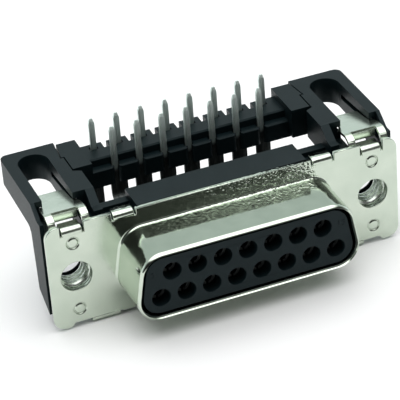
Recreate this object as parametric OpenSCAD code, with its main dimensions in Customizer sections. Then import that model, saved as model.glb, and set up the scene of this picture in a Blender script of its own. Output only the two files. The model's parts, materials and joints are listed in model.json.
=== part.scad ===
// Right-angle board connector, D-sub size 15, socket side.
// Millimetres. X runs along the flange, +Y to the rear, +Z to the board.
// Origin: midway between the two screw axes, on the front face of the flange.

/* [Shell] */
// Width of the flange
flange_w = 39.14; // [38.7:0.02:39.7]
// Height of the flange
flange_h = 12.5; // [12.3:0.05:12.9]
// Thickness of the shell's sheet
sheet_t = 0.45; // [0.35:0.01:0.5]
// Corner radius of the flange
flange_r = 1.3; // [0.8:0.05:1.4]
// Distance from the flange's end to the D, at the D's wide side
d_inset = 7.24; // [7.1:0.02:7.4]
// Height of the D shroud
d_h = 7.9; // [7.6:0.05:8.1]
// Lean of the D's short sides, in degrees
d_lean = 10; // [8:0.5:12]
// Corner radius of the D
d_r = 2.6; // [2.2:0.05:2.9]
// Reach of the D in front of the flange
d_reach = 6; // [5.6:0.05:6.5]
// Radius of the D's rolled rim
rim_r = 0.6; // [0.5:0.02:0.7]
// Fillet radius at the foot of the D
foot_r = 0.8; // [0.5:0.05:0.9]
// Diameter of the stake dimples
dimple_d = 1.5; // [1.2:0.05:1.8]
// Depth of the stake dimples
dimple_depth = 0.16; // [0.08:0.01:0.2]
// Height of the stake dimples above and below the screws
dimple_z = 4; // [3.7:0.05:4.2]

/* [Shell tabs] */
// Outer radius of each tab's bend
tab_r = 0.6; // [0.55:0.01:0.7]
// Width of the inner top tabs
inner_tab_w = 2.2; // [1.8:0.05:2.4]
// Distance from a screw axis in to the middle of the inner top tab
inner_tab_inset = 5.61; // [5.5:0.01:5.75]
// Reach of the inner top tabs behind the flange's front
inner_tab_reach = 1.25; // [1:0.05:1.6]
// Width of the outer top tabs
outer_tab_w = 2.15; // [1.8:0.05:2.3]
// Reach of the outer top tabs
outer_tab_reach = 1.55; // [1.3:0.05:1.8]
// Width of the bottom tabs
bottom_tab_w = 3.1; // [2.6:0.05:3.4]
// Distance from a screw axis in to the middle of the bottom tab
bottom_tab_inset = 2.76; // [2.66:0.01:2.9]
// Reach of the bottom tabs
bottom_tab_reach = 1.6; // [1.2:0.05:2]
// Width of the relief cut beside each top tab
relief_w = 0.32; // [0.25:0.01:0.4]

/* [Screws] */
// Distance from a screw axis to the flange's end
screw_inset = 2.91; // [2.8:0.01:3]
// Clear hole for the screw in the flange and straps
screw_hole_d = 3.4; // [3.2:0.05:3.6]
// Diameter of the inserts' bore
insert_bore_d = 3; // [2.6:0.05:3.1]
// Width across the flats of the inserts
insert_w = 4.7; // [4.4:0.05:5]
// Length of the inserts
insert_len = 2.9; // [2.5:0.05:3]

/* [Contacts] */
// Distance from the D's widest point in to the end contact of the lower row
row_inset = 2.635; // [2.6:0.005:2.8]
// Distance between the two rows at the mating face
row_gap = 2.84; // [2.7:0.02:3]
// Outside diameter of a socket barrel
barrel_d = 1.75; // [1.6:0.05:1.8]
// Bore of a socket barrel
socket_d = 1.1; // [1:0.02:1.2]
// How far the barrels lie behind the insulator's face
socket_recess = 1.4; // [0.6:0.05:1.5]
// Width of the contact's leg
leg_w = 1.25; // [1:0.05:1.3]
// Width of the board tail
tail_w = 0.64; // [0.5:0.02:0.8]
// Thickness of the contact strip
strip_t = 0.32; // [0.25:0.01:0.36]
// Width of the stiffening rib along the leg and tail
rib_w = 0.26; // [0.2:0.01:0.3]
// Height of the stiffening rib
rib_h = 0.08; // [0.05:0.01:0.09]
// Inside radius of the leg's bend
leg_bend_r = 0.8; // [0.6:0.05:1]
// Distance of the rear row of tails from the flange's front
tail_back = 12.5; // [12.4:0.02:12.6]
// Distance between the two rows of tails
tail_row_gap = 2.54; // [2.5:0.01:2.6]
// Length of the tails above the board seat
tail_len = 2.8; // [2.4:0.05:3.4]

/* [Insulator] */
// Gap between the shroud's inner wall and the nose
nose_gap = 0.25; // [0.15:0.01:0.3]
// How far the nose's face lies inside the shroud's rim
nose_recess = 0.35; // [0.2:0.05:0.6]
// Diameter of the contact cavities
cavity_d = 2; // [1.9:0.02:2.1]
// Thickness of the insulator's flange
insulator_t = 0.95; // [0.9:0.01:1]

/* [Housing] */
// Height of the board seat above the screw axes
board_z = 7.34; // [7.3:0.02:7.5]
// Depth of the brackets behind the flange's front
bracket_reach = 14.3; // [14.2:0.02:14.5]
// Thickness of the brackets at their root
bracket_t = 3.35; // [3.2:0.05:3.4]
// Taper of a bracket's underside over its length
bracket_taper = 0.4; // [0.2:0.05:0.5]
// Distance from a screw axis in to the bracket's inner face, beside the block
arm_inset = 3.94; // [3.86:0.01:4.01]
// Distance from a screw axis in to the bracket's inner face, beside the pin spacer
arm_rear_inset = 3.11; // [3.06:0.01:3.16]
// Radius of the brackets' outer rear corners
bracket_r = 0.8; // [0.4:0.05:1]
// Depth of the wall behind the flange
wall_back = 4.8; // [4.7:0.02:5]
// Depth of the middle block
block_back = 4; // [3.9:0.02:4.1]
// Distance from a screw axis in to the end of the middle block
block_inset = 7.26; // [7.21:0.01:7.36]
// Height of the block's top above the screw axes
block_top = 6.1; // [6.05:0.01:6.12]
// Width of the board slots
slot_w = 3.3; // [3.1:0.05:3.4]
// Depth of the slots' rear end
slot_back = 13.1; // [13:0.05:13.3]

/* [Pin spacer] */
// Height of the spacer below the board seat
spacer_h = 3.75; // [3.6:0.02:3.8]
// Drop from the board seat to the upper level
spacer_step = 0.8; // [0.6:0.02:0.9]
// Drop from the board seat to the front ledge
ledge_step = 1.7; // [1.5:0.02:1.8]
// Width of the end blocks
end_w = 2.1; // [2:0.02:2.2]
// Length of the end blocks
end_len = 5.5; // [5.3:0.02:5.6]
// Width of the pin slots
pin_slot_w = 1.35; // [1.32:0.01:1.4]
// Width of the slits in the ledge's front
slit_mouth = 0.42; // [0.35:0.01:0.5]
// Radius of the ledge's corners at the slits
ledge_r = 0.4; // [0.25:0.05:0.42]
// Width of the notches between the pins
notch_w = 0.58; // [0.4:0.02:0.7]
// Depth of the notches between the pins
notch_depth = 1.2; // [0.8:0.05:1.25]

/* [Ground straps] */
// Thickness of the strap's sheet
strap_t = 0.33; // [0.28:0.01:0.36]
// Width of the strap's tongue
strap_w = 3.1; // [2.8:0.05:3.2]
// Width of the strap at its bend
strap_bend_w = 4.4; // [4.2:0.05:4.5]
// Outside radius of the strap's bend
strap_r = 1.45; // [1.35:0.01:1.5]
// Drop from the board seat to the top of the strap's bend
strap_drop = 0.5; // [0.46:0.01:0.55]
// Slope of the strap's tongue down to the rear, in degrees
strap_lean = 8; // [7:0.1:8.5]
// How far the strap reaches behind the flange's front
strap_reach = 6.95; // [6.5:0.05:7.1]
// Width of the window at the bend
window_w = 2.85; // [2.7:0.05:2.95]
// Height of the turned-down lip at the window's rear edge
lip_h = 0.75; // [0.5:0.05:0.8]

/* [Clearances] */
// Gap between faces that stack or slide in
fit_gap = 0.02; // [0.01:0.005:0.04]
// Gap round the pin spacer
spacer_gap = 0.15; // [0.1:0.01:0.2]

/* [Hidden] */
$fn = 48;

WIDE_ROW = 8;                 // contacts in the lower row
PINS = 15;                    // contacts in all
STEPS = 6;                    // flats in a rounded sheet bend
CORNER_STEPS = 12;            // flats in a corner of the D
OVER = 1;                     // length by which a cut passes its face
BITE = 0.1;                   // overlap of two solids that join
EPS = 0.001;                  // overlap that leaves no skin
HEX = 2 / sqrt(3);            // corner diameter of a hexagon over its width

half_w = flange_w / 2;
half_h = flange_h / 2;
screw_x = half_w - screw_inset;
d_w = flange_w - 2 * d_inset;             // width of the D at its wide side
pitch = (d_w - 2 * row_inset) / (WIDE_ROW - 1);
inner_tab_x = screw_x - inner_tab_inset;
bottom_tab_x = screw_x - bottom_tab_inset;
arm_in = screw_x - arm_inset;
arm_rear_in = screw_x - arm_rear_inset;
block_half = screw_x - block_inset;

// flange's edge
bottom_rise = 0.5;                        // bottom edge between the tabs
notch_rise = 0.65;                        // bottom edge beside the tabs
corner_rise = 0.2;                        // bottom edge at the corners
relief_depth = 0.3;                       // relief cuts below a tab's root
inner_tab_top = half_h - 0.2;
outer_tab_top = half_h - 0.5;
hole_edge = 0.1;                          // rounded-off edge of the screw holes

// stack behind the flange
stack_y = sheet_t + fit_gap;              // front of what lies on the flange's back
insulator_back = sheet_t + insulator_t;   // rear face of the insulator's flange
body_y = insulator_back + fit_gap;        // front of the housing's walls
insert_front = stack_y + strap_t + fit_gap;
insert_seat = insert_front + insert_len + fit_gap - body_y;
insert_lead = 0.25;                       // lead-in chamfer of the thread

// board tails
tail_front = tail_back - tail_row_gap;
tail_top = board_z + tail_len;

// heights
wing_low = half_h - 1.5;                  // foot of the housing's side walls
body_low = half_h - notch_rise;           // foot of the housing's middle
shelf_z = half_h - 0.1;                   // cheeks beside the strap, at the flange
bar_z = 5.24;                             // bar between the block and the brackets
plate_z = board_z - bracket_t;            // underside of a bracket at its root

// brackets
ramp_foot = 2.3;                          // front end of the cheeks' ramps
ramp_run = 1.69;                          // length of the ramps along Y
wall_fillet = 1;                          // between a bracket's underside and its wall
inner_cheek = 0.95;                       // thickness of the cheek at the block
outer_cheek = 0.45;                       // thickness of the cheek at the end
cheek_back = 4;                           // rear end of the pocket between the cheeks
tab_pocket = 3;                           // rear end of the pockets behind the inner tabs
groove_depth = 0.4;                       // side grooves of the slots, at the strap
groove_h = 0.6;
groove_top = 6.94;                        // upper edge of the grooves, at the flange's front
groove_lean = 4.6;                        // slope of the grooves, in degrees
groove_back = 11;                         // rear end of the grooves

// contacts
collar_d = cavity_d + 0.15;               // collar between the insulator and the housing
collar_t = 0.48;
socket_depth = 4.6;                       // depth of a socket's bore
slit_w = 0.24;                            // slit that parts a socket's two arms
slit_len = 3.2;
tip_len = 0.3;                            // bevelled end of a tail

// pin spacer
spacer_low = board_z - spacer_h;
spacer_half = arm_rear_in - spacer_gap;
spacer_top = board_z - spacer_step;
ledge_top = board_z - ledge_step;
ledge_front = tail_front - 0.62;
upper_front = tail_front + strip_t / 2 + spacer_gap;
spacer_back = tail_back + 0.85;
end_back = bracket_reach - 0.5;
end_front = end_back - end_len;
shoulder_y = end_front - 2 * spacer_gap;  // shoulder of the bracket in front of the end block
shoulder_step = 0.4;                      // length of the step at that shoulder
barb_y = end_front + end_len / 2;         // shoulder of the barb on each end block
barb_depth = 0.35;
edge_cut = 0.15;                          // chamfer along the comb's upper edges
neck_z = spacer_low + tail_w;             // start of the leg's neck
neck_top = neck_z + (leg_w - tail_w) / 2; // leg is as narrow as its tail from here up

// straps
strap_top = board_z - strap_drop;
strap_half = strap_bend_w / 2;
strap_foot = 2.3;                         // radius of the ring round the screw hole
strap_corner = 0.35;                      // corner radius of the tongue's end
window_back = stack_y + strap_r + 0.2;    // rear edge of the window
shoulder_back = cheek_back - 2 * spacer_gap; // rear edge of the strap's wide part

// ---------- shared outlines ----------

function arc(c, r, from, to, n) = [
    for (i = [0:n]) let (a = from + (to - from) * i / n) [c.x + r * cos(a), c.y + r * sin(a)]
];

function mirrored(half) = concat(half, [for (i = [len(half) - 1:-1:0]) [-half[i].x, half[i].y]]);

// D outline in X and Z, wide side down, grown outwards by g
function d_outline(g) =
    let (
        r = d_r + g,
        low = [d_w / 2 - d_r, -d_h / 2 + d_r],
        high = [low.x - (d_h - 2 * d_r) * tan(d_lean), -low.y]
    )
    mirrored(concat(
        arc(low, r, -90, d_lean, CORNER_STEPS),
        arc(high, r, d_lean, 90, CORNER_STEPS)
    ));

function pin_x(i) = (i <= WIDE_ROW ? i - (WIDE_ROW + 1) / 2 : i - WIDE_ROW - WIDE_ROW / 2) * pitch;
function pin_z(i) = (i <= WIDE_ROW ? -1 : 1) * row_gap / 2;
function tail_y(i) = i <= WIDE_ROW ? tail_back : tail_front;

// prism of an X-Z outline, from y0 rearwards over t
module facing(y0, t) {
    translate([0, y0 + t, 0]) rotate([90, 0, 0]) linear_extrude(t) children();
}

// prism of a Y-Z outline, from x0 over w
module sideways(x0, w) {
    translate([x0, 0, 0]) rotate([90, 0, 90]) linear_extrude(w) children();
}

module both_sides() {
    children();
    mirror([1, 0, 0]) children();
}

// round bar along Y
module bar_y(x, z, d, y0, y1) {
    translate([x, y1, z]) rotate([90, 0, 0]) cylinder(d = d, h = y1 - y0);
}

// cone sunk into the flange's front: d0 at the face, d1 at depth
module cone_y(x, z, d0, d1, depth) {
    translate([x, depth, z]) rotate([90, 0, 0]) cylinder(d1 = d1, d2 = d0, h = depth + EPS);
}

// ---------- front shell ----------

// half of the flange's outline, from the bottom middle round to the top middle
function flange_half() =
    let (
        low = -half_h,
        tab_in = bottom_tab_x - bottom_tab_w / 2,
        lobe_x = screw_x + 3 * relief_w,
        corner_x = half_w - flange_r
    )
    concat(
        [[0, low + bottom_rise], [tab_in - relief_w, low + bottom_rise], [tab_in - BITE, low + notch_rise]],
        [[lobe_x - relief_w, low + notch_rise], [lobe_x + BITE, low + corner_rise]],
        arc([corner_x, low + corner_rise + flange_r], flange_r, -90, 0, STEPS),
        arc([corner_x, half_h - flange_r], flange_r, 0, 90, STEPS),
        top_relief(screw_x, outer_tab_w, outer_tab_top - tab_r, half_h),
        top_relief(inner_tab_x, inner_tab_w, inner_tab_top - tab_r, block_top),
        [[0, block_top]]
    );

// notches at both sides of a top tab, from the outside inwards to the height top
function top_relief(x, w, root, top) =
    let (a = w / 2, b = a + relief_w, deep = root - relief_depth)
    [
        [x + b, half_h], [x + b, deep], [x + a, deep], [x + a, root],
        [x - a, root], [x - a, deep], [x - b, deep], [x - b, top]
    ];

// tab folded back from the flange, its upper face at top
module folded_tab(x, w, top, reach) {
    c = [tab_r, top - tab_r];
    sideways(x - w / 2, w) polygon(concat(
        [[0, c.y - relief_depth]],
        arc(c, tab_r, 180, 90, STEPS),
        [[reach, top], [reach, top - sheet_t]],
        arc(c, tab_r - sheet_t, 90, 180, STEPS),
        [[sheet_t, c.y - relief_depth]]
    ));
}

// drawn D: a ring of sheet swept from the foot's fillet round the rolled rim and back inside
module d_shroud() {
    sink = 0.01;                          // fillet's start below the flange's face
    back = sheet_t - 3 * sink;            // ring's end inside the flange's sheet
    profile = concat(
        [[foot_r, back]],
        [for (p = arc([foot_r, -foot_r], foot_r, 90, 180, STEPS)) [p.x, p.y + sink]],
        arc([-rim_r, rim_r - d_reach], rim_r, 0, -90, STEPS),
        [[-rim_r, sheet_t / 2 - d_reach], [-sheet_t, rim_r + sheet_t / 2 - d_reach]],
        [[-sheet_t, -sheet_t / 2], [BITE, back]]
    );
    sweep_d(profile);
}

// sweeps a closed profile of [growth, y] round the D
module sweep_d(profile) {
    rings = [for (p = profile) [for (q = d_outline(p.x)) [q.x, p.y, q.y]]];
    n = len(rings[0]);
    m = len(rings);
    polyhedron(
        points = [for (r = rings) each r],
        faces = [for (i = [0:m - 1], j = [0:n - 1])
            let (a = i, b = (i + 1) % m, k = (j + 1) % n) [a * n + j, b * n + j, b * n + k, a * n + k]]
    );
}

module front_shell() color("gainsboro") {
    difference() {
        facing(0, sheet_t) difference() {
            polygon(mirrored(flange_half()));
            polygon(d_outline(foot_r / 3));
        }
        both_sides() {
            bar_y(screw_x, 0, screw_hole_d, -OVER, sheet_t + OVER);
            cone_y(screw_x, 0, screw_hole_d + 2 * hole_edge, screw_hole_d, hole_edge);
            for (z = [-dimple_z, dimple_z])
                cone_y(screw_x, z, dimple_d, dimple_d - 2 * dimple_depth, dimple_depth);
        }
    }
    d_shroud();
    both_sides() {
        folded_tab(inner_tab_x, inner_tab_w, inner_tab_top, inner_tab_reach);
        folded_tab(screw_x, outer_tab_w, outer_tab_top, outer_tab_reach);
        mirror([0, 0, 1]) folded_tab(bottom_tab_x, bottom_tab_w, half_h, bottom_tab_reach);
    }
}

// ---------- front insulator ----------

module front_insulator() color("#202225") difference() {
    collar_seat = insulator_back - collar_t - fit_gap;
    union() {
        facing(nose_recess - d_reach, d_reach - nose_recess + stack_y + BITE)
            polygon(d_outline(-sheet_t - nose_gap));
        facing(stack_y, insulator_back - stack_y) insulator_flange();
    }
    for (i = [1:PINS]) {
        bar_y(pin_x(i), pin_z(i), cavity_d, -d_reach - OVER, insulator_back + OVER);
        bar_y(pin_x(i), pin_z(i), collar_d + BITE, collar_seat, insulator_back + OVER);
    }
    both_sides() {
        bar_y(screw_x, 0, insert_w * HEX + 2 * BITE, sheet_t, insulator_back + OVER);
        translate([screw_x - strap_half - BITE, -OVER, -strap_foot - BITE])
            cube([2 * strap_half + OVER, stack_y + strap_t + fit_gap + OVER, half_h + strap_foot]);
    }
}

// plate between the shell's flange and the housing, lower beside the straps
module insulator_flange() {
    low = -half_h + notch_rise + insulator_t / 3;
    side = half_w - notch_rise;
    chamfer = 0.8;
    polygon(mirrored([
        [0, low], [side - chamfer, low], [side, low + chamfer], [side, bar_z - BITE],
        [arm_in + inner_cheek, bar_z - BITE], [arm_in + inner_cheek, bar_z + BITE], [0, bar_z + BITE]
    ]));
}

// ---------- housing ----------

// plan of the snap barb between a bracket and the pin spacer: ramp from the rear, shoulder at y
module barb(x, y) {
    polygon([[x - BITE, end_back], [x, end_back], [x + barb_depth, y], [x - BITE, y]]);
}

// side view of a bracket with its wall: ramp to the flange, fillet below, chamfered foot
function bracket_side() =
    let (
        y = wall_back,
        f = wall_fillet,
        slope = bracket_taper / (bracket_reach - y)
    )
    concat(
        [[body_y, -wing_low], [body_y, shelf_z], [ramp_foot, shelf_z], [ramp_foot + ramp_run, board_z]],
        [[bracket_reach, board_z], [bracket_reach, plate_z + bracket_taper]],
        arc([y + f, plate_z + f * slope - f], f, 90, 180, STEPS),
        [[y - f / 2, 3 * f / 2 - wing_low]]
    );

// plan of one bracket: inner face stepped for the pin spacer, outer rear corner rounded
function bracket_plan() = concat(
    [[arm_in, 0], [half_w, 0]],
    arc([half_w - bracket_r, bracket_reach - bracket_r], bracket_r, 0, 90, STEPS),
    [[arm_rear_in, bracket_reach], [arm_rear_in, shoulder_y], [arm_in, shoulder_y - shoulder_step]]
);

// board slot with a round rear end, open to the front, and a groove along each side for the strap
module slot_cut() translate([screw_x, 0, 0]) {
    end = slot_back - slot_w / 2;
    groove_half = slot_w / 2 + groove_depth;
    drop = groove_back * tan(groove_lean);
    translate([0, 0, plate_z - OVER]) linear_extrude(board_z) union() {
        translate([-slot_w / 2, 0]) square([slot_w, end]);
        translate([0, end]) circle(slot_w / 2);
    }
    sideways(-groove_half, 2 * groove_half) polygon([
        [0, groove_top], [groove_back, groove_top - drop], [groove_back, groove_top - drop - groove_h],
        [0, groove_top - groove_h]
    ]);
}

module bracket() difference() {
    intersection() {
        sideways(arm_in, half_w - arm_in) polygon(bracket_side());
        translate([0, 0, -half_h]) linear_extrude(2 * board_z) polygon(bracket_plan());
    }
    slot_cut();
    // pocket for the strap's bend and the outer tab
    translate([arm_in + inner_cheek, -OVER, bar_z - fit_gap])
        cube([half_w - arm_in - inner_cheek - outer_cheek, OVER + cheek_back, board_z]);
    // insert's pocket, open to the front, and the clear hole behind it
    translate([screw_x, body_y + insert_seat, 0]) rotate([90, 0, 0])
        cylinder(d = (insert_w + 2 * fit_gap) * HEX, h = insert_seat + OVER, $fn = 6);
    bar_y(screw_x, 0, screw_hole_d + 2 * hole_edge, 0, wall_back + OVER);
    // recess for the spacer's barb
    translate([0, 0, plate_z - OVER]) linear_extrude(board_z) barb(arm_rear_in, barb_y - spacer_gap);
}

module housing() color("#202225") difference() {
    lip_z = bar_z + BITE + fit_gap;       // lip over the insulator's flange
    depth = block_back - body_y;
    union() {
        translate([-block_half, body_y, -body_low])
            cube([2 * block_half, depth, block_top + body_low]);
        translate([-block_half, stack_y, lip_z])
            cube([2 * block_half, block_back - stack_y, block_top - lip_z]);
        translate([-arm_in - BITE, body_y, -body_low])
            cube([2 * (arm_in + BITE), depth, bar_z + body_low]);
        both_sides() bracket();
    }
    // pockets behind the inner tabs
    both_sides() translate([block_half, -OVER, inner_tab_top - sheet_t - tab_r - relief_depth])
        cube([arm_in - block_half, OVER + tab_pocket, half_h]);
    // slots for the contacts' legs
    for (i = [1:PINS]) translate([pin_x(i) - leg_w / 2 - BITE / 2, 0, pin_z(i) - strip_t / 2 - BITE])
        cube([leg_w + BITE, block_back + OVER, strip_t + 2 * BITE]);
}

// ---------- pin spacer ----------

// side view of the comb: upper level, ledge in front, both with a chamfered edge
function comb_side() = [
    [spacer_back, spacer_low], [spacer_back, spacer_top], [upper_front + edge_cut, spacer_top],
    [upper_front, spacer_top - edge_cut], [upper_front, ledge_top], [ledge_front + edge_cut, ledge_top],
    [ledge_front, ledge_top - edge_cut], [ledge_front, spacer_low]
];

// plan of a slit in the ledge's front: rounded mouth, then straight to the pin
function slit_plan() =
    let (w = slit_mouth / 2, r = ledge_r, y = ledge_front)
    mirrored(concat(
        [[w + r, y - OVER]],
        arc([w + r, y + r], r, 270, 180, STEPS),
        [[w, tail_front]]
    ));

// opening for a pin: wide below for the leg, narrow above for the tail
module pin_slot(i) {
    y = tail_y(i) - strip_t / 2 - spacer_gap;
    depth = strip_t + 2 * spacer_gap;
    tail_slot = tail_w + 2 * spacer_gap;
    translate([pin_x(i) - pin_slot_w / 2, y, spacer_low - OVER])
        cube([pin_slot_w, depth, neck_top + spacer_gap - spacer_low + OVER]);
    translate([pin_x(i) - tail_slot / 2, y, spacer_low - OVER])
        cube([tail_slot, depth, spacer_h + 2 * OVER]);
}

module pin_spacer() color("#24272a") difference() {
    union() {
        sideways(-spacer_half, 2 * spacer_half) polygon(comb_side());
        both_sides() {
            translate([spacer_half - end_w, end_front, plate_z])
                cube([end_w, end_len, bracket_t]);
            translate([0, 0, plate_z]) linear_extrude(bracket_t) barb(spacer_half, barb_y);
        }
    }
    for (i = [1:PINS]) {
        pin_slot(i);
        if (i > WIDE_ROW) {
            translate([pin_x(i), 0, spacer_low - OVER])
                linear_extrude(spacer_h + 2 * OVER) polygon(slit_plan());
            translate([pin_x(i) - notch_w / 2, spacer_back - notch_depth, spacer_low - OVER])
                cube([notch_w, notch_depth + OVER, spacer_h + 2 * OVER]);
        }
    }
}

// ---------- ground straps ----------

// side view of the strap: sloping tongue, wide bend, leg behind the flange
function strap_side() =
    let (
        c = [stack_y + strap_r, strap_top - strap_r],
        to = 90 - strap_lean,
        back = strap_reach - c.x,
        fall = back * tan(strap_lean)
    )
    concat(
        [[stack_y, -strap_foot]],
        arc(c, strap_r, 180, to, 2 * STEPS),
        [[strap_reach, c.y + strap_r / cos(strap_lean) - fall]],
        [[strap_reach, c.y + (strap_r - strap_t) / cos(strap_lean) - fall]],
        arc(c, strap_r - strap_t, to, 180, 2 * STEPS),
        [[stack_y + strap_t, -strap_foot]]
    );

// plan of the tongue: narrow end with rounded corners, shoulders flaring to the bend
function strap_plan() =
    let (n = strap_w / 2, w = strap_half, r = strap_corner, y = shoulder_back)
    mirrored(concat(
        [[w, -OVER], [w, y - r], [w - r / 2, y]],
        arc([n + r, y + 2 * r], r, 270, 180, 4),
        arc([n - r, strap_reach - r], r, 0, 90, 4)
    ));

// front view of the leg: parallel sides, ring round the screw hole
function strap_face() =
    let (w = strap_half, r = strap_foot)
    mirrored(concat(
        arc([0, 0], r, -90, -acos(w / r), 8),
        [[w, board_z]]
    ));

module ground_strap() color("gainsboro") translate([screw_x, 0, 0]) {
    difference() {
        intersection() {
            sideways(-strap_half, strap_bend_w) polygon(strap_side());
            union() {
                translate([0, 0, strap_top - strap_r]) linear_extrude(board_z) polygon(strap_plan());
                facing(0, stack_y + strap_r) polygon(strap_face());
            }
        }
        bar_y(0, 0, screw_hole_d, -OVER, stack_y + OVER);
        translate([-window_w / 2, -OVER, outer_tab_top - tab_r - relief_depth - sheet_t / 2])
            cube([window_w, window_back + OVER, board_z]);
    }
    translate([BITE - window_w / 2, window_back - strap_t + BITE, strap_top - strap_t - lip_h])
        cube([window_w - 2 * BITE, strap_t, lip_h + strap_t / 2]);
}

// ---------- inserts and contacts ----------

module threaded_insert() color("silver") translate([screw_x, insert_front, 0]) rotate([-90, 0, 0])
    difference() {
        cylinder(d = insert_w * HEX, h = insert_len, $fn = 6);
        translate([0, 0, -OVER]) cylinder(d = insert_bore_d, h = insert_len + 2 * OVER);
        translate([0, 0, -EPS])
            cylinder(d1 = insert_bore_d + 2 * insert_lead, d2 = insert_bore_d, h = insert_lead);
    }

// side view of the strip: leg to the rear, bend, tail with a thinned tip; its inner side grown by g
function strip_side(z, y_t, g) =
    let (t = strip_t / 2, r = leg_bend_r, c = [y_t - t - r, z + t + r], y0 = insulator_back - collar_t / 2)
    concat(
        [[y0, z - t]],
        arc(c, r + strip_t, 270, 360, STEPS),
        [[y_t + t, tail_top - tip_len], [y_t + t / 2, tail_top]],
        [[y_t - t / 2, tail_top], [y_t - t - g, tail_top - tip_len]],
        arc(c, r - g, 360, 270, STEPS),
        [[y0, z + t + g]]
    );

// front view of the strip: wide leg, neck inside the pin spacer, tapered tip
function strip_face() =
    let (a = leg_w / 2, b = tail_w / 2)
    mirrored([[a, -half_h], [a, neck_z], [b, neck_top], [b, tail_top - 2 * tip_len], [b / 2, tail_top]]);

module contact(i) color("darkseagreen") {
    front = nose_recess - d_reach + socket_recess;
    collar = insulator_back - collar_t;
    x = pin_x(i);
    z = pin_z(i);
    difference() {
        union() {
            bar_y(x, z, barrel_d, front, collar + BITE);
            bar_y(x, z, collar_d, collar, insulator_back - fit_gap);
        }
        bar_y(x, z, socket_d, front - OVER, front + socket_depth);
        translate([x - slit_w / 2, front - OVER, z - barrel_d]) cube([slit_w, OVER + slit_len, 2 * barrel_d]);
    }
    intersection() {
        union() {
            sideways(x - leg_w / 2, leg_w) polygon(strip_side(z, tail_y(i), 0));
            sideways(x - rib_w / 2, rib_w) polygon(strip_side(z, tail_y(i), rib_h));
        }
        translate([x, 0, 0]) facing(-OVER, bracket_reach + OVER) polygon(strip_face());
    }
}

function contact_name(i) = str("contact_", i < 10 ? "0" : "", i);

front_shell();
front_insulator();
housing();
pin_spacer();
mirror([1, 0, 0]) ground_strap();  // ground_strap_left
ground_strap();  // ground_strap_right
mirror([1, 0, 0]) threaded_insert();  // threaded_insert_left
threaded_insert();  // threaded_insert_right
for (i = [1:PINS]) contact(i);
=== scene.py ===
"""Looks of the right-angle D-sub connector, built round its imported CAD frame.

Lengths are in metres: a named size is its millimetres times MM.
"""

import json
import math
from collections import namedtuple

import bpy
from mathutils import Matrix, Vector


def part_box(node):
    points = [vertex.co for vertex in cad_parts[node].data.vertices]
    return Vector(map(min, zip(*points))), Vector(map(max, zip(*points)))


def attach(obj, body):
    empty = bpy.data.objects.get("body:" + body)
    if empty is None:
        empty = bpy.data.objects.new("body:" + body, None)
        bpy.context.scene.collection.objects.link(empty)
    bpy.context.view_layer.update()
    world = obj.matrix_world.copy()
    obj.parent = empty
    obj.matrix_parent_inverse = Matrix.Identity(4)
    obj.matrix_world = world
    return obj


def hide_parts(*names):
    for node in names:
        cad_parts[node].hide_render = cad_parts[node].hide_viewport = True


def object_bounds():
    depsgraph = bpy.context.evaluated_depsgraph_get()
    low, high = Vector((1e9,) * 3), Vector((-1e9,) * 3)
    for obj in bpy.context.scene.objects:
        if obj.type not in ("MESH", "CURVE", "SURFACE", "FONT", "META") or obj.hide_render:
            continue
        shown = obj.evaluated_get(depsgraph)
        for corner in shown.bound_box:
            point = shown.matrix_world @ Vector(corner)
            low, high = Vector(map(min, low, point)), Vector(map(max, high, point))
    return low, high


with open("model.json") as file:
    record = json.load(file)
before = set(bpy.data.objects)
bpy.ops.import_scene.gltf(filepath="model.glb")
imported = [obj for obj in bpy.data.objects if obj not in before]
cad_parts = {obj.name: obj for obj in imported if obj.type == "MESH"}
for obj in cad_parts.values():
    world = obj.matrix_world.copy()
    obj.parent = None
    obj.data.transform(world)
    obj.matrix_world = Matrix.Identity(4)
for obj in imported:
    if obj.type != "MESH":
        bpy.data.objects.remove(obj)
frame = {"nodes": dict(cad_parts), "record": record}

MM = 0.001
cad_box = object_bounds()
MOUNTS = {m["name"]: m for m in frame["record"]["mounts"]}
Tab = namedtuple("Tab", "x width top reach")

# ---------- sizes that the frame gives ----------

shell_low, shell_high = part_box("front_shell")
flange_half_w = shell_high.x
flange_half_h = -shell_low.z
d_front = shell_low.y
screw_x = MOUNTS["insert_thread_right"]["pos_m"][0]
insert_bore = MOUNTS["insert_thread_right"]["dims"]["r_mm"] * MM
nose_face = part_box("front_insulator")[0].y

# ---------- formed sheet of the shell ----------

SHEET = 0.45 * MM
SHEET_EDGE = 0.07 * MM        # rounding of the cut edges
TAB_EDGE = 0.056 * MM
D_WIDTH = 24.66 * MM
D_HEIGHT = 7.9 * MM
D_LEAN = 10                   # degrees
D_CORNER = 2.6 * MM
CORNER_STEPS = 14
RIM = 0.62 * MM               # outer radius of the D's curled front edge
RIM_TURN = 50                 # degrees that the curl turns inwards
RIM_NICK = 0.012 * MM         # rounding of the curl's cut edge
FOOT = 0.32 * MM              # fillet between the flange and the D
FOOT_SINK = 0.004 * MM        # keeps the fillet's end just under the flange's face
FLANGE_CORNER = 1.3 * MM
BLOCK_TOP = 6.1 * MM          # upper edge of the flange between the inner tabs
HOLE_R = 1.7 * MM

# lower edge of the flange: heights above its lowest point, and its slopes
BOTTOM_RISE = 0.5 * MM
NOTCH_RISE = 0.65 * MM
CORNER_RISE = 0.2 * MM
SLOPE_RUN = 0.32 * MM
SLOPE_END = 0.1 * MM
LOBE_FROM_SCREW = 0.96 * MM

# top is the height of the face turned outwards, reach the length behind the flange's front
INNER_TAB = Tab(11.05 * MM, 2.2 * MM, flange_half_h - 0.2 * MM, 1.25 * MM)
OUTER_TAB = Tab(screw_x, 2.15 * MM, flange_half_h - 0.5 * MM, 1.55 * MM)
BOTTOM_TAB = Tab(13.9 * MM, 3.1 * MM, flange_half_h, 1.6 * MM)
TAB_R = 0.6 * MM
RELIEF_W = 0.22 * MM
RELIEF_DEEP = 0.12 * MM

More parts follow.
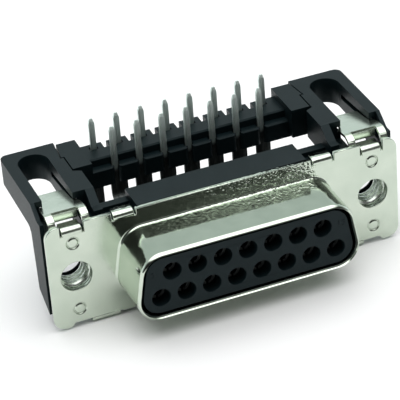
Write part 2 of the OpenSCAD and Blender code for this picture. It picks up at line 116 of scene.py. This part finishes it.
DIMPLE_R = 0.75 * MM
DIMPLE_Z = 4 * MM
DIMPLE_DEEP = 0.16 * MM
DIMPLE_MIDDLE = 0.18          # depth inside the pressed ring, as a share
# section of the pressed ring: mm outwards from the dimple's edge, and share of its depth
DIMPLE_RING = [(0.05, 0.0125), (-0.02, 0.0625), (-0.07, 0.8), (-0.12, 1), (-0.17, 0.9), (-0.25, 0.25)]

# ---------- screws, housing and contacts ----------

THREAD_PITCH = 0.635 * MM
THREAD_DEPTH = 0.18 * MM
THREAD_FLANK = 2.6            # steepness of the flanks, which leaves flat crests
THREAD_LEAD = 0.25 * MM
THREAD_BACK = 2.8 * MM
STEPS_PER_TURN = 10
STEPS_ROUND = 48
WALL_BACK = 3.9 * MM          # front of the recess behind a screw
RECESS_DEEP = 2 * MM          # past the wall's rear face
RECESS_R = 2.65 * MM
TAIL_FROM = 4.7 * MM          # bright tin above; painted shade below, on the springs in the cavities and the legs in the comb's well
TAIL_FADE = 0.7 * MM
PITCH = 2.77 * MM
ROW = 1.42 * MM
NUMBER_SIZE = 0.95 * MM

# ---------- where the plating changes ----------

# each pair runs from no effect to full effect along its axis
PEEL_LEFT = (-12.4 * MM, -11.2 * MM)
PEEL_RIGHT = (11.0 * MM, 9.0 * MM)
PEEL_GROWTH = (-14 * MM, 10 * MM)
PEEL_FRONT = (-2.6 * MM, -0.4 * MM)
PEEL_LOW = (3.3 * MM, 4.0 * MM)
SATIN_ENDS = (12.2 * MM, 13.6 * MM)
PEEL_HEIGHT = 0.12 * MM
PEEL_SHARE = 0.97             # of that height in the orange peel
PLAIN_SHARE = 0.02            # of that height everywhere

# ---------- studio ----------

# radiance over the sine of the elevation, as a share of SKY_SCALE
SKY_SCALE = 2.8
SKY_FRONT = [(0.0, 0.10), (0.50, 0.012), (0.66, 0.03), (0.78, 0.45), (0.88, 0.9), (1.0, 1.0)]
SKY_REAR = [(0.0, (0.36, 0.39, 0.40)), (0.32, (0.33, 0.36, 0.37)), (0.46, (0.215, 0.24, 0.235)),
            (0.66, (0.20, 0.225, 0.22)), (0.84, 0.8), (1.0, 1.0)]
SKY_LEFT = [(0.0, 0.01), (0.6, 0.01), (0.72, 0.05), (0.8, 0.45), (0.88, 0.9), (1.0, 1.0)]
LEFT_TO_FRONT = (-0.08, 0.2)
FRONT_TO_REAR = (-0.25, 0.25)
FLOOR_HALF = 600 * MM
FLOOR_DROP = 0.02 * MM

AIM = Vector((0.4, 8.8, -0.9)) * MM
DISTANCE = 250 * MM
AZIMUTH, ELEVATION, ROLL = (math.radians(a) for a in (-19.73, 32.34, -4.48))
FOCAL_LENGTH, SENSOR_WIDTH = 210.3, 36


# ---------- node helpers ----------


def new_material(name):
    """Empty principled material: its tree, its shader and a texture coordinate node."""
    mat = bpy.data.materials.new(name)
    mat.use_nodes = True
    tree = mat.node_tree
    shader = tree.nodes["Principled BSDF"]
    coords = tree.nodes.new("ShaderNodeTexCoord")
    return mat, tree, shader, coords


def axes(tree, vector):
    """X, Y and Z of a vector, each as a socket."""
    node = tree.nodes.new("ShaderNodeSeparateXYZ")
    tree.links.new(vector, node.inputs["Vector"])
    return [node.outputs[axis] for axis in "XYZ"]


def noise(tree, coords, scale, detail=3.0, rough=0.55, stretch=(1, 1, 1)):
    """Noise over object coordinates, with scale in waves a millimetre."""
    mapping = tree.nodes.new("ShaderNodeMapping")
    mapping.inputs["Scale"].default_value = [s / MM for s in stretch]
    tree.links.new(coords.outputs["Object"], mapping.inputs["Vector"])
    tex = tree.nodes.new("ShaderNodeTexNoise")
    tex.inputs["Scale"].default_value = scale
    tex.inputs["Detail"].default_value = detail
    tex.inputs["Roughness"].default_value = rough
    tree.links.new(mapping.outputs["Vector"], tex.inputs["Vector"])
    return tex.outputs["Fac"]


def ramp(tree, source, stops):
    """Colour ramp over source; stops are (place, grey or colour)."""
    node = tree.nodes.new("ShaderNodeValToRGB")
    for i, (place, value) in enumerate(stops):
        stop = node.color_ramp.elements[i] if i < 2 else node.color_ramp.elements.new(place)
        stop.position = place
        rgb = value if isinstance(value, tuple) else (value,) * 3
        stop.color = (*rgb, 1)
    tree.links.new(source, node.inputs["Fac"])
    return node.outputs["Color"]


def by_identifier(sockets, name):
    return next(s for s in sockets if s.identifier == name)


def blend(tree, share, first, second):
    """Colour that goes from first to second as share goes from 0 to 1."""
    node = tree.nodes.new("ShaderNodeMix")
    node.data_type = "RGBA"
    for name, source in (("Factor_Float", share), ("A_Color", first), ("B_Color", second)):
        tree.links.new(source, by_identifier(node.inputs, name))
    return by_identifier(node.outputs, "Result_Color")


def step(tree, value, start, end):
    """0 at start and 1 at end, with a soft rise; end may be the lower one."""
    node = tree.nodes.new("ShaderNodeMapRange")
    node.interpolation_type = "SMOOTHSTEP"
    node.inputs["From Min"].default_value = min(start, end)
    node.inputs["From Max"].default_value = max(start, end)
    if end < start:
        node.inputs["To Min"].default_value, node.inputs["To Max"].default_value = 1, 0
    tree.links.new(value, node.inputs["Value"])
    return node.outputs["Result"]


def math_node(tree, operation, first, second=None):
    """Sum, product or other function of one or two values."""
    node = tree.nodes.new("ShaderNodeMath")
    node.operation = operation
    for socket, value in zip(node.inputs, (first, second)):
        if isinstance(value, float):
            socket.default_value = value
        elif value is not None:
            tree.links.new(value, socket)
    return node.outputs["Value"]


def bump(tree, shader, height, distance, strength=1.0):
    """Bump from a height of 0 to 1; distance in metres."""
    node = tree.nodes.new("ShaderNodeBump")
    node.inputs["Strength"].default_value = strength
    node.inputs["Distance"].default_value = distance
    tree.links.new(height, node.inputs["Height"])
    tree.links.new(node.outputs["Normal"], shader.inputs["Normal"])


# ---------- materials ----------


def nickel_material():
    """Bright nickel plate, satin at the ends; orange peel where the sheet was drawn, above the D."""
    mat, tree, shader, coords = new_material("nickel_plate")
    shader.inputs["Metallic"].default_value = 1.0
    clouds = noise(tree, coords, 0.35, 2.0)
    tree.links.new(ramp(tree, clouds, [(0.3, (0.53, 0.60, 0.51)), (0.75, (0.61, 0.675, 0.58))]),
                   shader.inputs["Base Color"])
    grain = noise(tree, coords, 3.4, 1.0)
    x, y, z = axes(tree, coords.outputs["Object"])
    satin = math_node(tree, "MULTIPLY", step(tree, math_node(tree, "ABSOLUTE", x), *SATIN_ENDS), 0.12)
    polish = ramp(tree, grain, [(0.3, 0.07), (0.75, 0.14)])
    tree.links.new(math_node(tree, "ADD", satin, polish), shader.inputs["Roughness"])
    peel = step(tree, x, *PEEL_GROWTH)
    for value, limits in ((x, PEEL_LEFT), (x, PEEL_RIGHT), (y, PEEL_FRONT), (z, PEEL_LOW)):
        peel = math_node(tree, "MULTIPLY", peel, step(tree, value, *limits))
    depth = math_node(tree, "ADD", math_node(tree, "MULTIPLY", peel, PEEL_SHARE), PLAIN_SHARE)
    bump(tree, shader, math_node(tree, "MULTIPLY", grain, depth), PEEL_HEIGHT)
    return mat


def plastic_material():
    """Black glass-filled moulding: dark charcoal, matt, with faint moulded grain."""
    mat, tree, shader, coords = new_material("black_moulding")
    shader.inputs["Specular IOR Level"].default_value = 0.2
    shader.inputs["Specular Tint"].default_value = (0.80, 0.97, 1.0, 1)
    clouds = noise(tree, coords, 0.5, 3.0)
    tree.links.new(ramp(tree, clouds, [(0.25, (0.0020, 0.0062, 0.0075)), (0.8, (0.0040, 0.0095, 0.0112))]),
                   shader.inputs["Base Color"])
    grain = noise(tree, coords, 9.0, 3.0, 0.65)
    tree.links.new(ramp(tree, grain, [(0.25, 0.36), (0.8, 0.50)]), shader.inputs["Roughness"])
    bump(tree, shader, grain, 0.010 * MM, 0.5)
    return mat


def tin_material():
    """Dull tin on the tails, drawn out along the strip; below them, on the springs and legs inside the
    housing, painted shade darkens the same tin.
    """
    mat, tree, shader, coords = new_material("tin_plate")
    shader.inputs["Metallic"].default_value = 1.0
    clouds = noise(tree, coords, 1.3, 3.0, stretch=(2.5, 2.5, 0.5))
    bright = ramp(tree, clouds, [(0.3, (0.66, 0.75, 0.71)), (0.75, (0.80, 0.88, 0.84))])
    # painted shade: near-black tin for the springs in the cavities and the legs in the comb's well, which
    # lie in the housing's shadow
    dark = ramp(tree, clouds, [(0.3, (0.045, 0.052, 0.052)), (0.75, (0.11, 0.12, 0.115))])
    z = axes(tree, coords.outputs["Object"])[2]
    # share of the plain tin colour: 0 in the painted shade below TAIL_FROM, 1 on the tails above
    out_of_shade = step(tree, z, TAIL_FROM, TAIL_FROM + TAIL_FADE)
    tree.links.new(blend(tree, out_of_shade, dark, bright), shader.inputs["Base Color"])
    grain = noise(tree, coords, 6.0, 3.0, stretch=(2, 2, 0.4))
    tree.links.new(ramp(tree, grain, [(0.3, 0.42), (0.75, 0.58)]), shader.inputs["Roughness"])
    bump(tree, shader, grain, 0.006 * MM, 0.5)
    return mat


def insert_material():
    """Turned and plated insert."""
    mat, tree, shader, coords = new_material("insert_plate")
    shader.inputs["Metallic"].default_value = 1.0
    turned = noise(tree, coords, 3.0, 3.0, stretch=(0.6, 4, 0.6))
    tree.links.new(ramp(tree, turned, [(0.3, (0.68, 0.74, 0.68)), (0.75, (0.82, 0.88, 0.81))]),
                   shader.inputs["Base Color"])
    tree.links.new(ramp(tree, turned, [(0.3, 0.22), (0.75, 0.34)]), shader.inputs["Roughness"])
    bump(tree, shader, turned, 0.004 * MM, 0.5)
    return mat


def floor_material():
    """Plain white paper sweep."""
    mat, tree, shader, coords = new_material("white_floor")
    shader.inputs["Roughness"].default_value = 0.9
    fibres = noise(tree, coords, 0.05, 2.0)
    tree.links.new(ramp(tree, fibres, [(0.2, 0.93), (0.8, 0.95)]), shader.inputs["Base Color"])
    return mat


NICKEL = nickel_material()
PLASTIC = plastic_material()
TIN = tin_material()
INSERT = insert_material()


# ---------- outlines ----------


def polar(cx, cy, r, degrees):
    angle = math.radians(degrees)
    return cx + r * math.cos(angle), cy + r * math.sin(angle)


def arc(cx, cy, r, start, end, steps):
    """Points of a round stretch, angles in degrees."""
    return [polar(cx, cy, r, start + (end - start) * i / steps) for i in range(steps + 1)]


def circle(cx, cy, r, steps):
    return arc(cx, cy, r, 0, 360, steps)[:-1]


def mirrored(half):
    """A closed outline from its half on +X."""
    return half + [(-x, y) for x, y in reversed(half)]


def without_repeats(points, gap=1e-7):
    """The closed outline with no point on top of the one before it."""
    kept = []
    for p in points:
        if not kept or math.dist(p, kept[-1]) > gap:
            kept.append(p)
    if math.dist(kept[0], kept[-1]) <= gap:
        kept.pop()
    return kept


# ---------- mesh helpers ----------


def grid_mesh(name, rows, close_rows=True, close_cols=True):
    """Mesh of a grid of points; rows and columns may each close on themselves."""
    m, n = len(rows), len(rows[0])
    verts = [p for row in rows for p in row]
    faces = []
    for i in range(m if close_rows else m - 1):
        for j in range(n if close_cols else n - 1):
            a, b, k = i, (i + 1) % m, (j + 1) % n
            faces.append((a * n + j, a * n + k, b * n + k, b * n + j))
    mesh = bpy.data.meshes.new(name)
    mesh.from_pydata(verts, [], faces)
    mesh.polygons.foreach_set("use_smooth", [True] * len(faces))
    return mesh


def add_object(name, data, material=None):
    obj = bpy.data.objects.new(name, data)
    bpy.context.scene.collection.objects.link(obj)
    if material:
        data.materials.clear()
        data.materials.append(material)
    return obj


def evaluated_mesh(obj):
    """Mesh of a curve, or of an object with its modifiers."""
    bpy.context.view_layer.update()
    return bpy.data.meshes.new_from_object(obj.evaluated_get(bpy.context.evaluated_depsgraph_get()))


def plate(name, outlines, thickness, edge, place, material):
    """Sheet cut to closed outlines in its own XY plane, with rounded edges."""
    curve = bpy.data.curves.new(name, "CURVE")
    curve.dimensions = "2D"
    curve.fill_mode = "BOTH"
    curve.extrude = thickness / 2 - edge
    curve.bevel_depth = edge
    curve.bevel_resolution = 3
    curve.offset = -edge
    for outline in outlines:
        points = without_repeats(outline)
        spline = curve.splines.new("POLY")
        spline.points.add(len(points) - 1)
        for target, (x, y) in zip(spline.points, points):
            target.co = (x, y, 0, 1)
        spline.use_cyclic_u = True
    drawing = add_object(name, curve)
    mesh = evaluated_mesh(drawing)
    bpy.data.objects.remove(drawing)
    mesh.transform(place)
    return add_object(name, mesh, material)


def join(name, objs):
    """One piece from several objects."""
    with bpy.context.temp_override(active_object=objs[0], selected_editable_objects=objs):
        bpy.ops.object.join()
    objs[0].name = name
    return objs[0]


def crisp(obj, angle):
    """Smooth shading, with sharp edges kept where faces meet at more than angle degrees."""
    mesh = obj.data
    mesh.polygons.foreach_set("use_smooth", [True] * len(mesh.polygons))
    mesh.set_sharp_from_angle(angle=math.radians(angle))


# ---------- drawn shell ----------

# a drawing in X and Z with its front towards -Y, and a drawing in Y and Z with its thickness along X
UPRIGHT = Matrix.Rotation(math.pi / 2, 4, "X")
SIDEWAYS = Matrix(((0, 0, 1, 0), (1, 0, 0, 0), (0, 1, 0, 0), (0, 0, 0, 1)))


def d_outline(grow):
    """D outline in X and Z, wide side down, grown outwards."""
    low_x, low_z = D_WIDTH / 2 - D_CORNER, -D_HEIGHT / 2 + D_CORNER
    high_x = low_x - (D_HEIGHT - 2 * D_CORNER) * math.tan(math.radians(D_LEAN))
    r = D_CORNER + grow
    half = arc(low_x, low_z, r, -90, D_LEAN, CORNER_STEPS)
    half += arc(high_x, -low_z, r, D_LEAN, 90, CORNER_STEPS)
    return mirrored(half)


def shroud_profile():
    """Section of the D from the foot's fillet round the curled rim and back inside: growth and Y."""
    root = SHEET * 0.9
    bend_y = d_front + RIM * math.sin(math.radians(RIM_TURN))
    fillet = [(x, y + FOOT_SINK) for x, y in arc(FOOT, -FOOT, FOOT, 90, 180, 10)]
    rim = arc(-RIM, bend_y, RIM, 0, -RIM_TURN, 12)
    edge = [polar(-RIM, bend_y, r, -RIM_TURN - 5) for r in (RIM - RIM_NICK, RIM - SHEET + RIM_NICK)]
    curl = arc(-RIM, bend_y, RIM - SHEET, -RIM_TURN, 0, 5)
    return [(FOOT, root)] + fillet + rim + edge + curl + [(-SHEET, -SHEET / 2), (0.1 * MM, root)]


def shroud():
    rows = [[(x, y, z) for x, z in d_outline(grow)] for grow, y in shroud_profile()]
    obj = add_object("shroud", grid_mesh("shroud", rows), NICKEL)
    crisp(obj, 50)
    return obj


def relief(tab, inner_level):
    """Cuts at both sides of an upper tab, from the outside inwards."""
    a = tab.width / 2
    b = a + RELIEF_W
    root = tab.top - TAB_R
    deep = root - RELIEF_DEEP
    outside = [(tab.x + b, flange_half_h), (tab.x + b, deep), (tab.x + a, deep), (tab.x + a, root)]
    inside = [(tab.x - a, root), (tab.x - a, deep), (tab.x - b, deep), (tab.x - b, inner_level)]
    return outside + inside


def flange_outline():
    """Notched lower edge, round corners, and the upper edge with its relief cuts."""
    low = -flange_half_h
    tab_in = BOTTOM_TAB.x - BOTTOM_TAB.width / 2
    lobe = screw_x + LOBE_FROM_SCREW
    r = FLANGE_CORNER
    cx = flange_half_w - r
    half = [(0, low + BOTTOM_RISE), (tab_in - SLOPE_RUN, low + BOTTOM_RISE)]
    half += [(tab_in - SLOPE_END, low + NOTCH_RISE), (lobe - SLOPE_RUN, low + NOTCH_RISE)]
    half += [(lobe + SLOPE_END, low + CORNER_RISE)]
    half += arc(cx, low + CORNER_RISE + r, r, -90, 0, 10) + arc(cx, flange_half_h - r, r, 0, 90, 10)
    half += relief(OUTER_TAB, flange_half_h) + relief(INNER_TAB, BLOCK_TOP)
    half += [(0, BLOCK_TOP)]
    return mirrored(half)


def flange():
    outlines = [flange_outline(), d_outline(FOOT / 3)]
    outlines += [circle(side * screw_x, 0, HOLE_R, 48) for side in (-1, 1)]
    outlines += [circle(side * screw_x, z, DIMPLE_R, 32) for side in (-1, 1) for z in (-DIMPLE_Z, DIMPLE_Z)]
    place = Matrix.Translation((0, SHEET / 2, 0)) @ UPRIGHT
    return plate("flange", outlines, SHEET, SHEET_EDGE, place, NICKEL)


def dimple(x, z):
    """Stake mark: a ring pressed into the flange round a nearly flat middle."""
    profile = [(DIMPLE_R + out * MM, DIMPLE_DEEP * share) for out, share in DIMPLE_RING]
    profile += [(r, DIMPLE_DEEP * DIMPLE_MIDDLE) for r in (DIMPLE_R / 2, 0.01 * MM)]
    rows = [[(px, y, pz) for px, pz in circle(x, z, r, 32)] for r, y in profile]
    return add_object("dimple", grid_mesh("dimple", rows, close_rows=False), NICKEL)


def folded_tab(tab, side, up=1):
    """Tab folded back from the flange's upper edge, or from its lower one with up = -1."""
    cy, cz = TAB_R, tab.top - TAB_R
    section = [(0, cz - RELIEF_DEEP)] + arc(cy, cz, TAB_R, 180, 90, 10)
    section += [(tab.reach, tab.top), (tab.reach, tab.top - SHEET)]
    section += arc(cy, cz, TAB_R - SHEET, 90, 180, 6) + [(SHEET, cz - RELIEF_DEEP)]
    section = [(y, up * z) for y, z in section]
    place = Matrix.Translation((side * tab.x, 0, 0)) @ SIDEWAYS
    return plate("tab", [section], tab.width, TAB_EDGE, place, NICKEL)


def drawn_shell():
    parts = [flange(), shroud()]
    for side in (-1, 1):
        parts += [dimple(side * screw_x, z) for z in (-DIMPLE_Z, DIMPLE_Z)]
        parts += [folded_tab(INNER_TAB, side), folded_tab(OUTER_TAB, side)]
        parts.append(folded_tab(BOTTOM_TAB, side, up=-1))
    shell = join("shell_drawn", parts)
    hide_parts("front_shell")
    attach(shell, "root")


# ---------- tapped inserts ----------


def ring(x, y, radius_at):
    """Ring round a screw's axis at depth y; radius_at gives the radius at an angle."""
    angles = [2 * math.pi * j / STEPS_ROUND for j in range(STEPS_ROUND)]
    return [(x + radius_at(a) * math.cos(a), y, radius_at(a) * math.sin(a)) for a in angles]


def tapped_insert(node, x):
    """Hexagonal insert with a real thread inside its bore."""
    low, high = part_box(node)
    half_flats = min(high.x - low.x, high.z - low.z) / 2
    start = low.y + THREAD_LEAD
    steps = round((THREAD_BACK - start) / THREAD_PITCH * STEPS_PER_TURN)

    def hexagon(angle):
        sector = (angle + math.pi / 6) % (math.pi / 3) - math.pi / 6
        return half_flats / math.cos(sector)

    def thread(angle, y):
        phase = ((y - low.y) / THREAD_PITCH - angle / (2 * math.pi)) % 1
        wave = min(abs(phase - 0.5) * THREAD_FLANK, 1)
        return insert_bore + THREAD_DEPTH * (0.5 - wave)

    rows = [ring(x, low.y, hexagon), ring(x, low.y, lambda angle: insert_bore + THREAD_LEAD)]
    for i in range(steps + 1):
        y = start + (THREAD_BACK - start) * i / steps
        rows.append(ring(x, y, lambda angle, y=y: thread(angle, y)))
    rows.append(ring(x, THREAD_BACK, hexagon))
    obj = add_object(node + "_tapped", grid_mesh(node, rows), INSERT)
    crisp(obj, 60)
    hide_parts(node)
    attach(obj, "root")


# ---------- contact numbers ----------


def contact_number(text, x, z):
    """Raised number on the insulator's face."""
    curve = bpy.data.curves.new("number_" + text, "FONT")
    curve.body = text
    curve.size = NUMBER_SIZE
    curve.extrude = 0.02 * MM
    curve.bevel_depth = 0.012 * MM
    curve.align_x = curve.align_y = "CENTER"
    obj = add_object("number_" + text, curve, PLASTIC)
    obj.matrix_world = Matrix.Translation((x, nose_face, z)) @ UPRIGHT
    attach(obj, "root")


# ---------- CAD nodes and their copies ----------


def cutting_bar(x, y0, y1, r, steps=64):
    """Closed round bar along Y, to cut with."""
    verts = [(px, y, pz) for y in (y0, y1) for px, pz in circle(x, 0, r, steps)]
    faces = [(j, (j + 1) % steps, steps + (j + 1) % steps, steps + j) for j in range(steps)]
    faces += [tuple(range(steps)), tuple(range(2 * steps - 1, steps - 1, -1))]
    mesh = bpy.data.meshes.new("cutter")
    mesh.from_pydata(verts, [], faces)
    return add_object("cutter", mesh, PLASTIC)


def recessed_housing():
    """Copy of the housing with a round recess behind each screw, so light shows through the thread."""
    source = frame["nodes"]["housing"]
    mesh = source.data.copy()
    mesh.transform(source.matrix_world)
    obj = add_object("housing_recessed", mesh, PLASTIC)
    cutters = [cutting_bar(side * screw_x, WALL_BACK, WALL_BACK + RECESS_DEEP, RECESS_R) for side in (-1, 1)]
    for cutter in cutters:
        cut = obj.modifiers.new("recess", "BOOLEAN")
        cut.operation = "DIFFERENCE"
        cut.solver = "EXACT"
        cut.object = cutter
    cut_mesh = evaluated_mesh(obj)
    obj.modifiers.clear()
    obj.data = cut_mesh
    for cutter in cutters:
        bpy.data.objects.remove(cutter)
    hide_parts("housing")
    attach(obj, "root")
    return obj


def dress(obj, material, width):
    """Material and rounded edges for a CAD node or a copy of one."""
    obj.data.materials.clear()
    obj.data.materials.append(material)
    weld = obj.modifiers.new("weld", "WELD")
    weld.merge_threshold = 0.001 * MM
    bevel = obj.modifiers.new("edges", "BEVEL")
    bevel.width = width
    bevel.segments = 2
    bevel.limit_method = "ANGLE"
    bevel.angle_limit = math.radians(35)
    bevel.harden_normals = True


# ---------- camera, floor and light ----------


def photo_camera():
    """Camera at the photograph's angle."""
    level = math.cos(ELEVATION)
    back = Vector((math.sin(AZIMUTH) * level, -math.cos(AZIMUTH) * level, math.sin(ELEVATION)))
    camera = add_object("camera", bpy.data.cameras.new("camera"))
    camera.location = AIM + back * DISTANCE
    camera.rotation_mode = "QUATERNION"
    turn = Matrix.Rotation(ROLL, 4, "Z").to_quaternion()
    camera.rotation_quaternion = (-back).to_track_quat("-Z", "Y") @ turn
    camera.data.lens = FOCAL_LENGTH
    camera.data.sensor_width = SENSOR_WIDTH
    camera.data.clip_start, camera.data.clip_end = 0.01, 5
    bpy.context.scene.camera = camera


def floor():
    z = cad_box[0].z - FLOOR_DROP
    rows = [[(-FLOOR_HALF, y, z), (FLOOR_HALF, y, z)] for y in (-FLOOR_HALF, FLOOR_HALF)]
    obj = add_object("floor", grid_mesh("floor", rows, False, False), floor_material())


def studio():
    """Softbox overhead, dim in front below it, darkest at the front left, as radiance over direction."""
    world = bpy.data.worlds.new("studio")
    bpy.context.scene.world = world
    world.use_nodes = True
    tree = world.node_tree
    coords = tree.nodes.new("ShaderNodeTexCoord")
    x, y, z = axes(tree, coords.outputs["Generated"])
    front, rear, left = (ramp(tree, z, stops) for stops in (SKY_FRONT, SKY_REAR, SKY_LEFT))
    ahead = blend(tree, step(tree, x, *LEFT_TO_FRONT), left, front)
    background = tree.nodes["Background"]
    background.inputs["Strength"].default_value = SKY_SCALE
    tree.links.new(blend(tree, step(tree, y, *FRONT_TO_REAR), ahead, rear), background.inputs["Color"])


# ---------- build ----------

drawn_shell()
for side, name in ((-1, "left"), (1, "right")):
    tapped_insert("threaded_insert_" + name, side * screw_x)
    dress(frame["nodes"]["ground_strap_" + name], NICKEL, 0.05 * MM)
dress(frame["nodes"]["front_insulator"], PLASTIC, 0.06 * MM)
dress(recessed_housing(), PLASTIC, 0.08 * MM)
dress(frame["nodes"]["pin_spacer"], PLASTIC, 0.08 * MM)
for node, obj in frame["nodes"].items():
    if node.startswith("contact_"):
        dress(obj, TIN, 0.05 * MM)
for text, pitches, row in (("1", -4.35, -ROW), ("8", 4.35, -ROW), ("9", -3.75, ROW), ("15", 3.75, ROW)):
    contact_number(text, pitches * PITCH, row)
photo_camera()
floor()
studio()
bpy.context.scene.view_settings.view_transform = "Standard"
